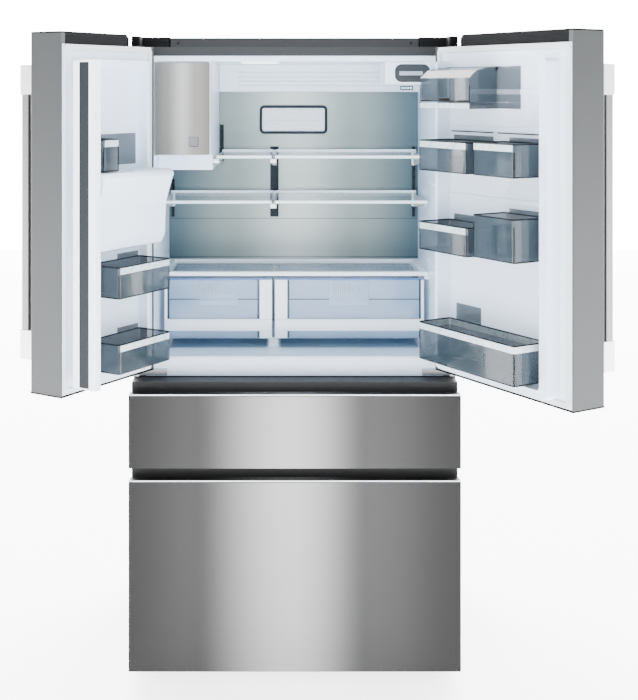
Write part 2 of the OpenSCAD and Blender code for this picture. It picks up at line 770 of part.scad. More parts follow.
// Magnetic seal round one door's inner panel
module door_gasket(w) {
  px = [seal_in, w - seal_free];
  y = [y_panel + liner_t + hair, door_t + gasket_t];
  color("#d5dade") difference() {
    front_plate(px, y, [seal_z0, seal_z1], 3);
    front_plate([px[0] + seal_w, px[1] - seal_w], [y[0] - 1, y[1] + 1],
                [seal_z0 + seal_w, seal_z1 - seal_w], 2);
  }
}

// Door bin: x range, its depth into the compartment, z range, and the tall
// back tab as [x0, x1, top]
module door_bin(x, depth, z, tab) {
  y0 = y_panel + liner_t + 1;
  tub(x, [y0, y0 + depth], z, 2.5, 8);
  block([tab[0], tab[1]], [y0, y0 + 2.5], [z[0] + 10, tab[2]]);
}

bin_depth = 105;
left_bin_x = [left_rx[0] + 1, left_rx[1] - 30];
module left_door_bins() {
  z = door_z0;
  color([0.45, 0.53, 0.58, 0.6]) {
    door_bin(left_bin_x, bin_depth, [z + 53, z + 128], [left_bin_x[0] + 8, left_bin_x[0] + 92, z + 142]);
    door_bin(left_bin_x, bin_depth, [z + 243, z + 323], [left_bin_x[0] + 8, left_bin_x[0] + 92, z + 338]);
    door_bin([left_rx[1] - 66, left_rx[1] - 4], 76, [chute_z1 + 2, chute_z1 + 84],
             [left_bin_x[0] + 18, left_rx[1] - 13, chute_z1 + 94]);
  }
}

half_bin_x = [right_rx[0] + 1, right_rx[0] + 200];
right_bin_x = [half_bin_x[1] + 23, right_rx[1] - 18];
module right_door_bins() {
  z = door_z1;
  b = door_z0;
  color([0.45, 0.53, 0.58, 0.6]) {
    door_bin(half_bin_x, bin_depth, [z - 361, z - 281], [half_bin_x[0] + 20, half_bin_x[1] - 20, z - 268]);
    door_bin(right_bin_x, bin_depth, [z - 361, z - 279], [right_bin_x[0] + 20, right_bin_x[1] - 20, z - 268]);
    door_bin(half_bin_x, bin_depth, [z - 571, z - 497], [half_bin_x[0] + 20, half_bin_x[1] - 20, z - 480]);
    door_bin(right_bin_x, bin_depth, [z - 566, z - 460], [right_bin_x[0] + 20, right_bin_x[1] - 20, z - 448]);
    door_bin([half_bin_x[0], right_bin_x[1]], bin_depth, [b + 57, b + 155],
             [half_bin_x[0] + 30, half_bin_x[0] + 130, b + 200]);
  }
}

// Bar handle on two end blocks, centred at x on the door's outer face
handle_z = [door_z0 + 75, door_z1 - 83];
handle_post_h = 76;
module handle(x) {
  color("#c9caca") {
    for (z = [handle_z[0], handle_z[1] - handle_post_h])
      block([x - 14, x + 14], [-65, -hair], [z, z + handle_post_h]);
    block([x - 13, x + 13], [-60, -38], handle_z);
  }
}

// Dispenser on the left door: a deep recess under a flat control panel
disp_x = [left_w / 2 - 105, left_w / 2 + 95];
disp_z = [chute_z1 - 330, chute_z1 - 10];
module dispenser_housing() {
  t = 3;
  x = [disp_x[0] + hair, disp_x[1] - hair];
  z = [disp_z[0] + hair, disp_z[1] - hair];
  y1 = door_t - 8;
  color("#2a2c2e") difference() {
    union() {
      block(x, [-2, y1], z);
      front_plate([x[0] - 6, x[1] + 6], [-4, -hair], [z[0] - 6, z[1] + 6], 8);
    }
    block([x[0] + t, x[1] - t], [-5, y1 - t], [z[0] + 22, z[1] - 110]);
    block([x[0] + t, x[1] - t], [t, y1 + 1], [z[1] - 110 + t, z[1] - t]);
    // Spout through which ice and water fall
    translate([(x[0] + x[1]) / 2, y1 / 2 + 6, z[1] - 112]) cylinder(r = 24, h = 10);
    for (i = [0:7]) block([x[0] + 20 + 21 * i, x[0] + 33 + 21 * i], [12, y1 - 14], [z[0] + 16, z[0] + 23]);
  }
  // Cheeks that carry the paddle's axle
  color("#2a2c2e") for (c = [-36, 30]) difference() {
    block([(x[0] + x[1]) / 2 + c, (x[0] + x[1]) / 2 + c + 6], [paddle_axis[0] - 7, y1 - 2],
          [paddle_axis[1] - 8, z[1] - 109]);
    translate([x[0], paddle_axis[0], paddle_axis[1]]) rotate([0, 90, 0])
      cylinder(r = 3 + pin_clear, h = x[1] - x[0]);
  }
}

paddle_axis = [door_t - 38, disp_z[1] - 124];
module dispenser_paddle() {
  x = (disp_x[0] + disp_x[1]) / 2;
  color("#8b8e90") {
    block([x - 28, x + 28], [paddle_axis[0] - 2, paddle_axis[0] + 2], [paddle_axis[1] - 92, paddle_axis[1]]);
    translate([x - 35, paddle_axis[0], paddle_axis[1]]) rotate([0, 90, 0]) cylinder(r = 3, h = 70);
  }
}

// Folding mullion on the left door's free edge, drawn folded against the door
mullion_w = 75;
mullion_t = 21;
mull_pivot_y = y_case + 22.2;
mull_pivot_x = dike_x(left_w, left_free)[1] + 5;
mull_face_x = mull_pivot_x + mull_pivot_y - y_case;
mull_y = [mull_pivot_y - 3, mull_pivot_y - 3 + mullion_w];
mull_z = [dike_z[0] + 4, dike_z[1] - 4];
ear_gap = 30;
ear_z = [mull_z[0] + 30, mull_z[1] - 60];
module mullion_bar() {
  x = [mull_face_x - mullion_t, mull_face_x];
  color("#e4e9ee") difference() {
    union() {
      pillar(x, mull_y, mull_z, 3);
      for (z = ear_z) translate([mull_pivot_x, mull_pivot_y, z]) {
        cylinder(r = 3.6, h = ear_gap);
        translate([0, -3, 0]) cube([6, 6, ear_gap]);
      }
    }
    block([x[1] - 2, x[1] + 1], [mull_y[0] + 22, mull_y[0] + 53], [mull_z[0] + 4, mull_z[1] - 4]);
    for (z = ear_z) translate([mull_pivot_x, mull_pivot_y, 0]) {
      translate([0, 0, z - 6]) cylinder(r = 1.5 + pin_clear, h = ear_gap + 12);
      translate([0, 0, z - 6]) cylinder(r = 4.8, h = 6);
      translate([0, 0, z + ear_gap]) cylinder(r = 4.8, h = 6);
    }
  }
}

module mullion_strip() {
  c = hair;
  color("#707880")
    block([mull_face_x - 2 + c, mull_face_x - 0.2], [mull_y[0] + 22 + c, mull_y[0] + 53 - c],
          [mull_z[0] + 4 + c, mull_z[1] - 4 - c]);
}

// Butter compartment at the top of the right door: tray, back plate and hood
dairy_x = [half_bin_x[0], half_bin_x[0] + 203];
dairy_z0 = door_z1 - 196;
dairy_y0 = y_panel + liner_t + 1;
dairy_pivot = [dairy_y0 + 10, dairy_z0 + 104];
dairy_depth = 100;
module dairy_box() {
  x = dairy_x;
  y = dairy_y0;
  z = dairy_z0;
  color([0.45, 0.53, 0.58, 0.6]) {
    block([x[0], x[1] + 80], [y, y + 3], [z, z + 109]);
    block(x, [y, y + dairy_depth], [z, z + 3]);
    block(x, [y + dairy_depth - 3, y + dairy_depth], [z, z + 14]);
    for (e = [x[0] + 3.5, x[1] - 6.5])
      block([e, e + 3], [y, y + 14], [z + 98, z + 109]);
    for (e = [x[0] + 0.5, x[1] - 4.5])
      translate([e, dairy_pivot[0], dairy_pivot[1]]) rotate([0, 90, 0]) cylinder(r = 2.5, h = 4);
  }
}

// Side outline of the lid; d is the inset of its hollow
module lid_outline(d) {
  y = dairy_y0;
  z = dairy_z0;
  f = y + dairy_depth - d;
  polygon([[y + 10, z + 17], [f, z + 17], [f, z + 80 - d], [y + 76, z + 99 - d],
           [y + 44, z + 106 - d], [y + 18, z + 107 - d], [y + 10, z + 101]]);
}

module dairy_lid() {
  t = 2.5;
  x = dairy_x;
  color([0.5, 0.58, 0.63, 0.6]) difference() {
    union() {
      difference() {
        side_extrude(x) lid_outline(0);
        side_extrude([x[0] + t, x[1] - t]) {
          lid_outline(t);
          translate([dairy_y0 + 5, dairy_z0 + 16]) square([dairy_depth - 5 - t, 40]);
          translate([dairy_y0 + 5, dairy_z0 + 50]) square([13, 60]);
        }
      }
      for (e = [x[0], x[1] - t]) translate([e, dairy_pivot[0], dairy_pivot[1]])
        rotate([0, 90, 0]) cylinder(r = 5, h = t);
    }
    translate([x[0] - 1, dairy_pivot[0], dairy_pivot[1]]) rotate([0, 90, 0])
      cylinder(r = 2.5 + pin_clear, h = x[1] - x[0] + 2);
  }
}

// ---------------------------------------------------------------- drawers

// Folded steel front of one drawer
module steel_front(z) {
  t = 1.2;
  color("#9b9c9c") difference() {
    front_plate([-half_w, half_w], [0, front_t], z, 2);
    block([-half_w + t, half_w - t], [t, front_t + 1], [z[0] + t, z[1] - t]);
  }
}

// Insulated core behind a steel front, stepped to leave the finger gap
module drawer_core(z, top, seal) {
  t = 1.2 + hair;
  color("#2e3032") {
    block([-half_w + t, half_w - t], [t, front_t], [z[0] + t, z[1] - t]);
    block([-half_w + 4, half_w - 4], [front_t - 1, front_t + 17], [z[0] + 2, z[1] - 6]);
    block([-half_w + 3, half_w - 3], [front_t + 16, door_t], [z[0] + 2, top]);
    difference() {
      block([-half_w + 20, half_w - 20], [door_t, door_t + gasket_t], seal);
      block([-half_w + 40, half_w - 40], [door_t + 2, door_t + gasket_t + 1], [seal[0] + 20, seal[1] - 20]);
    }
  }
}

// Drawer bin whose side flanges run inside the middle slide members
module drawer_bin(y1, z, rail_z) {
  x = x_in - 26;
  color("#e8edf0") {
    tub([-x, x], [door_t + 2, y1], z, 3, 10);
    for (s = [-1, 1]) {
      a = s * (x - 0.01);
      b = s * (x_in - 2 * lip_t - hair);
      block([min(a, b), max(a, b)], [y_case + 5, y1 - 12], [rail_z + 2 * lip_t + 2 * hair, rail_z + slide_h - 2 * lip_t - 2 * hair]);
    }
  }
}

// Pair of C-shaped slide members, open towards the drawer. d is the gap from
// the liner wall to the member's back, and inset lowers its top and bottom
lip_t = 4;
slide_h = 30;
slide_t = 12;
module slide_pair(y, z, d, inset) {
  for (s = [-1, 1]) {
    a = s * (x_in - slide_t);
    b = s * (x_in - d);
    c = s * (x_in - slide_t - 1);
    e = s * (x_in - d - lip_t + min(d, hair));
    difference() {
      block([min(a, b), max(a, b)], y, [z + inset, z + slide_h - inset]);
      block([min(c, e), max(c, e)], [y[0] - 1, y[1] + 1], [z + inset + lip_t, z + slide_h - inset - lip_t]);
    }
  }
}

flex_rail_z = flex_cav[0] + 70;
freezer_rail_z = step_z + 40;
module drawer_slides() {
  color("#a8abad") for (z = [flex_rail_z, freezer_rail_z])
    slide_pair([y_case + 6, y_rear - 30], z, 0.2, 0);
}

// Middle members, which travel half as far as their drawer
module runners(y1, z) {
  color("#c2c5c7") slide_pair([y_case + 7, y1], z, lip_t + hair, lip_t + hair);
}
module flex_runners() { runners(flex_y1 - 12, flex_rail_z); }
module freezer_runners() { runners(freezer_y1 - 12, freezer_rail_z); }

flex_y1 = y_rear - 70;
freezer_y1 = step_y - 10;
flex_bin_z = [flex_cav[0] + 8, flex_cav[1] - 14];
module flex_front() { steel_front([flex_z0, flex_z1]); }
module flex_core() {
  drawer_core([flex_z0, flex_z1], flex_z1 + core_rise, [flex_cav[0] - 18, flex_cav[1] + 18]);
}
module flex_bin() { drawer_bin(flex_y1, flex_bin_z, flex_rail_z); }

freezer_bin_z = [freezer_cav[0] + 8, step_z + 95];
module freezer_front() { steel_front([freezer_z0, freezer_z1]); }
module freezer_core() {
  drawer_core([freezer_z0, freezer_z1], flex_z0 - 2.5, [freezer_cav[0] - 18, freezer_cav[1] + 18]);
}
module freezer_bin() { drawer_bin(freezer_y1, freezer_bin_z, freezer_rail_z); }

// Shallow basket that slides back and forth on the freezer bin's rim
module freezer_basket() {
  x = x_in - 27.5;
  color("#eef2f5")
    tub([-x, x], [y_case + 8, y_case + 230], [freezer_bin_z[1] + hair, freezer_cav[1] - 22], 3, 10);
}

// ---------------------------------------------------------------- the nodes

case_panels();
insulation();
fridge_liner();
drawer_liners();
crossbars();
top_trim();
hinge_covers();
door_hinges();
rear_wall_panel();
duct_panel();
shelf_ladders();
shelf_brackets();
shelf_glass();
shelf_trims();
crisper_rails();
ice_box();
ice_maker();
ice_bin();
filter_housing();
drawer_slides();
flex_runners();
freezer_runners();
base_frame();
toe_grille();
levelling_legs();
compressor();
condenser();
rear_ports();
ice_cover();
ice_button();
filter_cartridge();
rear_rollers();
condenser_fan();
left_place() door_skin(left_w, true);  // left_door_skin
left_place() door_caps(left_w);  // left_door_caps
left_place() left_door_liner();
left_place() door_gasket(left_w);  // left_door_gasket
left_place() left_door_bins();
left_place() handle(left_w - 44);  // left_handle
left_place() dispenser_housing();
left_place() dispenser_paddle();
left_place() mullion_bar();
left_place() mullion_strip();
right_place() door_skin(right_w, false);  // right_door_skin
right_place() door_caps(right_w);  // right_door_caps
right_place() right_door_liner();
right_place() door_gasket(right_w);  // right_door_gasket
right_place() right_door_bins();
right_place() handle(right_w - 44);  // right_handle
right_place() dairy_box();
right_place() dairy_lid();
flex_front();
flex_core();
flex_bin();
freezer_front();
freezer_core();
freezer_bin();
freezer_basket();
crisper_left();
crisper_right();
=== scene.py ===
# %% [markdown]
# # French door refrigerator: the looks
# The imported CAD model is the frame. It stays where it is, and this notebook adds
# materials to its nodes and builds the finer visible shapes around them.

# %%
import bpy
import numpy as np
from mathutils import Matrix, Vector


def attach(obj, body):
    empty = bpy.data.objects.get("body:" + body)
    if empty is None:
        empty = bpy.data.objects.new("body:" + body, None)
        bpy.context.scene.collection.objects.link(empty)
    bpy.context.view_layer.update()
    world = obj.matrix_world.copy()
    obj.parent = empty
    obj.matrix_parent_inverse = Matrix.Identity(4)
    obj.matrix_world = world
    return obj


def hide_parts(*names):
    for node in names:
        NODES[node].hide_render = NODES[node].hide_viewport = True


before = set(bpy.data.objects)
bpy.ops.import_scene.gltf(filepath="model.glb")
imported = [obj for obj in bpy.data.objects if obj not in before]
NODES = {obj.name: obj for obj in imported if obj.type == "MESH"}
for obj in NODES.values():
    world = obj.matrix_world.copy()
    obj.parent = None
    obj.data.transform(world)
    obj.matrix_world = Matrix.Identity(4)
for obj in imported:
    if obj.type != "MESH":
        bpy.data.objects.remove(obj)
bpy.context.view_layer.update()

# %% [markdown]
# ## Places
# Both doors stand open, so nothing on them is square to the room. Their shapes could be
# modelled in place, but then every size would be mixed with an angle. So a door's shapes
# are computed in its own closed frame: x runs from the hinge edge to the free edge, y from
# the outer face into the case, z up. `place` turns them about the hinge pin to where the
# open door stands. The right door's x is mirrored first.

# %%
MM = 0.001
HALF_W, PIN_IN, PIN_Y = 454.0, 12.4, 49.0
OPEN = {"left": np.radians(-122.0), "right": np.radians(121.0)}
LEFT_W, RIGHT_W = 372.0, 531.0


def place(points, where):
    """Row-frame metres for points in millimetres: p' = pin + R(angle)(p - pin)."""
    p = np.asarray(points, float).reshape(-1, 3).copy()
    if where in OPEN:
        side = -1.0 if where == "left" else 1.0
        p[:, 0] = side * (HALF_W - p[:, 0])
        pin = np.array([side * (HALF_W - PIN_IN), PIN_Y])
        c, s = np.cos(OPEN[where]), np.sin(OPEN[where])
        d = p[:, :2] - pin
        p[:, :2] = pin + d @ np.array([[c, s], [-s, c]])
    return p * MM


# %% [markdown]
# ## Surfaces
# Every shape is a grid of points: one parameter runs round an outline, the other along a
# path. The grid's quads and its two end faces are found with numpy index arithmetic.
# Primitives with a Bevel modifier would give similar blocks, but a formula puts each
# rounding where it is wanted and leaves no modifier to apply.

# %%
def grid(P, loop=False):
    """Quads of the grid P[v, u], round in u. A loop is round in v too, else its ends are closed."""
    m, n = P.shape[:2]
    i = np.arange(m if loop else m - 1)[:, None]
    j = np.arange(n)[None, :]
    a, b = i * n + j, i * n + (j + 1) % n
    up = ((i + 1) % m) * n
    faces = np.stack([a, b, up + (j + 1) % n, up + j], -1).reshape(-1, 4).tolist()
    if not loop:
        faces.append(list(range(n))[::-1])
        faces.append(list(range((m - 1) * n, m * n)))
    return P.reshape(-1, 3), faces


def outline(x0, x1, y0, y1, r, k=5):
    """Rounded rectangle: corner centre + r (cos t, sin t), with t turning 90 degrees a corner."""
    r = max(min(r, (x1 - x0) / 2 - 1e-3, (y1 - y0) / 2 - 1e-3), 1e-3)
    t = np.linspace(0, np.pi / 2, k)[None, :] + np.arange(4)[:, None] * np.pi / 2
    cx = np.array([x1 - r, x0 + r, x0 + r, x1 - r])[:, None]
    cy = np.array([y1 - r, y1 - r, y0 + r, y0 + r])[:, None]
    normal = np.stack([np.cos(t), np.sin(t)], -1).reshape(-1, 2)
    return np.stack([cx + r * np.cos(t), cy + r * np.sin(t)], -1).reshape(-1, 2), normal


AXES = {"z": [0, 1, 2], "y": [0, 2, 1], "x": [1, 2, 0]}


def turned(a, b, c, axis):
    """Points whose outline lies across the axis: (a, b) across it and c along it."""
    out = np.empty(np.broadcast(a, b, c).shape + (3,))
    for value, k in zip((a, b, c), AXES[axis]):
        out[..., k] = value
    return out


def block(x, y, z, r=1.0, axis="z", corner=None, k=5):
    """Soft block: the outline's inset is e(1 - sin t) and its height e(1 - cos t) at each end."""
    span = {"x": x, "y": y, "z": z}
    ids = ["xyz"[i] for i in AXES[axis]]
    (a0, a1), (b0, b1), (c0, c1) = [span[i] for i in ids]
    e = min(r, (a1 - a0) / 2.2, (b1 - b0) / 2.2, (c1 - c0) / 2.2)
    corner = max(corner if corner is not None else e, e)
    t = np.linspace(0, np.pi / 2, 4)
    inset = np.concatenate([e * (1 - np.sin(t)), e * (1 - np.sin(t[::-1]))])
    height = np.concatenate([c0 + e * (1 - np.cos(t)), c1 - e * (1 - np.cos(t[::-1]))])
    rows = [outline(a0 + q, a1 - q, b0 + q, b1 - q, corner - q + 0.02, k)[0] for q in inset]
    o = np.array(rows)
    return grid(turned(o[..., 0], o[..., 1], height[:, None] + 0 * o[..., 0], axis))


def ring(a, b, corner, profile, axis="y", k=7):
    """Profile (outward offset s, height h) carried round a rounded rectangle: p + s n."""
    path, normal = outline(a[0], a[1], b[0], b[1], corner, k)
    prof = np.asarray(profile, float)
    q = path[None] + prof[:, None, :1] * normal[None]
    return grid(turned(q[..., 0], q[..., 1], prof[:, 1][:, None] + 0 * q[..., 0], axis), loop=True)


def lathe(profile, centre, axis="z", n=28):
    """Profile (radius, height) turned about an axis through centre."""
    prof = np.asarray(profile, float)
    t = np.linspace(0, 2 * np.pi, n, endpoint=False)[None, :]
    P = turned(prof[:, :1] * np.cos(t), prof[:, :1] * np.sin(t), prof[:, 1:] + 0 * t, axis)
    return grid(P + np.asarray(centre, float))


def rod(points, r, n=10):
    """Round bar: p(s) + r (cos t u + sin t w), with u and w across the path."""
    p = np.asarray(points, float)
    d = np.gradient(p, axis=0)
    d /= np.linalg.norm(d, axis=1, keepdims=True)
    ref = np.array([0.31, 0.17, 0.93]) if abs(d[0, 2]) < 0.9 else np.array([1.0, 0.1, 0.0])
    u = np.cross(d, ref)
    u /= np.linalg.norm(u, axis=1, keepdims=True)
    w = np.cross(d, u)
    t = np.linspace(0, 2 * np.pi, n, endpoint=False)[None, :, None]
    return grid(p[:, None] + r * (np.cos(t) * u[:, None] + np.sin(t) * w[:, None]))


def outward(V, F):
    """Flips a closed shape whose signed volume, the sum of a.(b x c)/6, is negative."""
    tri = np.array([[f[0], f[i], f[i + 1]] for f in F for i in range(1, len(f) - 1)])
    a, b, c = V[tri[:, 0]], V[tri[:, 1]], V[tri[:, 2]]
    return F if np.einsum("ij,ij->i", a, np.cross(b, c)).sum() > 0 else [f[::-1] for f in F]


SHARP_ANGLE = 38


def make(name, parts, where, body, material):
    """One object from several closed shapes, in place in the row frame, riding on a body."""
    verts, faces, start = [], [], 0
    for V, F in parts:
        W = place(V, where)
        centred = W - W.mean(0)
        verts.append(W)
        faces += [[i + start for i in f] for f in outward(centred, F)]
        start += len(W)
    mesh = bpy.data.meshes.new(name)
    mesh.from_pydata(np.concatenate(verts).tolist(), [], faces)
    mesh.update()
    mesh.polygons.foreach_set("use_smooth", np.full(len(mesh.polygons), True))
    obj = bpy.data.objects.new(name, mesh)
    bpy.context.scene.collection.objects.link(obj)
    mesh.materials.append(material)
    mesh.set_sharp_from_angle(angle=np.radians(SHARP_ANGLE))
    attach(obj, body)
    return obj


def fixed(name, parts, material):
    """A piece that stays with the cabinet."""
    return make(name, parts, "case", "cabinet", M[material])


print("surface builders ready")

# %% [markdown]
# ## Materials
# The outside is brushed steel, the inside is moulded white plastic, and the door bins are
# smoky clear plastic. Image textures would need unwrapping, so all finishes are procedural
# and read Object coordinates, and the pattern stays on the piece when it moves. Noise drawn
# out along the grain looks brushed. Even noise breaks up colour, roughness and the surface.

# %%
def rgb(code):
    """Linear colour of an sRGB hex code: ((c + 0.055) / 1.055) ^ 2.4."""
    c = np.array([int(code[i:i + 2], 16) / 255 for i in (1, 3, 5)])
    lin = np.where(c <= 0.04045, c / 12.92, ((c + 0.055) / 1.055) ** 2.4)
    return (*[float(v) for v in lin], 1.0)


def finish(name, code, rough=0.4, metal=0.0, stretch=(60, 60, 60), vary=0.05, bump=0.05,
           alpha=1.0, coat=0.0, glow=0.0, spec=0.5, ramp=None, ramp_axis="X", span=(-0.454, 0.454)):
    """Principled surface whose colour, roughness and bump follow a stretched noise."""
    m = bpy.data.materials.new(name)
    m.use_nodes = True
    nt = m.node_tree
    n, link = nt.nodes, nt.links.new
    p = n["Principled BSDF"]
    co = n.new("ShaderNodeTexCoord")
    mp = n.new("ShaderNodeMapping")
    mp.inputs["Scale"].default_value = stretch
    link(co.outputs["Object"], mp.inputs["Vector"])
    noise = n.new("ShaderNodeTexNoise")
    noise.inputs["Scale"].default_value = 1.0
    noise.inputs["Detail"].default_value = 5.0
    link(mp.outputs["Vector"], noise.inputs["Vector"])
    tone = n.new("ShaderNodeMapRange")
    tone.inputs["To Min"].default_value = 1 - vary
    tone.inputs["To Max"].default_value = 1 + vary
    link(noise.outputs["Fac"], tone.inputs["Value"])
    mix = n.new("ShaderNodeVectorMath")
    mix.operation = "SCALE"
    link(tone.outputs["Result"], mix.inputs["Scale"])
    if ramp:
        sep = n.new("ShaderNodeSeparateXYZ")
        link(co.outputs["Object"], sep.inputs["Vector"])
        along = n.new("ShaderNodeMapRange")
        along.inputs["From Min"].default_value = span[0]
        along.inputs["From Max"].default_value = span[1]
        link(sep.outputs[ramp_axis], along.inputs["Value"])
        cr = n.new("ShaderNodeValToRGB")
        cr.color_ramp.interpolation = "EASE"
        for k, (pos, c) in enumerate(ramp):
            e = cr.color_ramp.elements[k] if k < 2 else cr.color_ramp.elements.new(pos)
            e.position, e.color = pos, rgb(c)
        link(along.outputs["Result"], cr.inputs["Fac"])
        link(cr.outputs["Color"], mix.inputs[0])
    else:
        mix.inputs[0].default_value = rgb(code)[:3]
    link(mix.outputs["Vector"], p.inputs["Base Color"])
    rr = n.new("ShaderNodeMapRange")
    rr.inputs["To Min"].default_value = max(rough - 0.07, 0.02)
    rr.inputs["To Max"].default_value = min(rough + 0.07, 1.0)
    link(noise.outputs["Fac"], rr.inputs["Value"])
    link(rr.outputs["Result"], p.inputs["Roughness"])
    bp = n.new("ShaderNodeBump")
    bp.inputs["Strength"].default_value = bump
    bp.inputs["Distance"].default_value = 0.0004
    link(noise.outputs["Fac"], bp.inputs["Height"])
    link(bp.outputs["Normal"], p.inputs["Normal"])
    p.inputs["Metallic"].default_value = metal
    p.inputs["Alpha"].default_value = alpha
    p.inputs["Coat Weight"].default_value = coat
    p.inputs["Specular IOR Level"].default_value = spec
    if glow:
        p.inputs["Emission Color"].default_value = rgb(code)
        p.inputs["Emission Strength"].default_value = glow
    m.diffuse_color = rgb(code)[:3] + (alpha,)
    return m


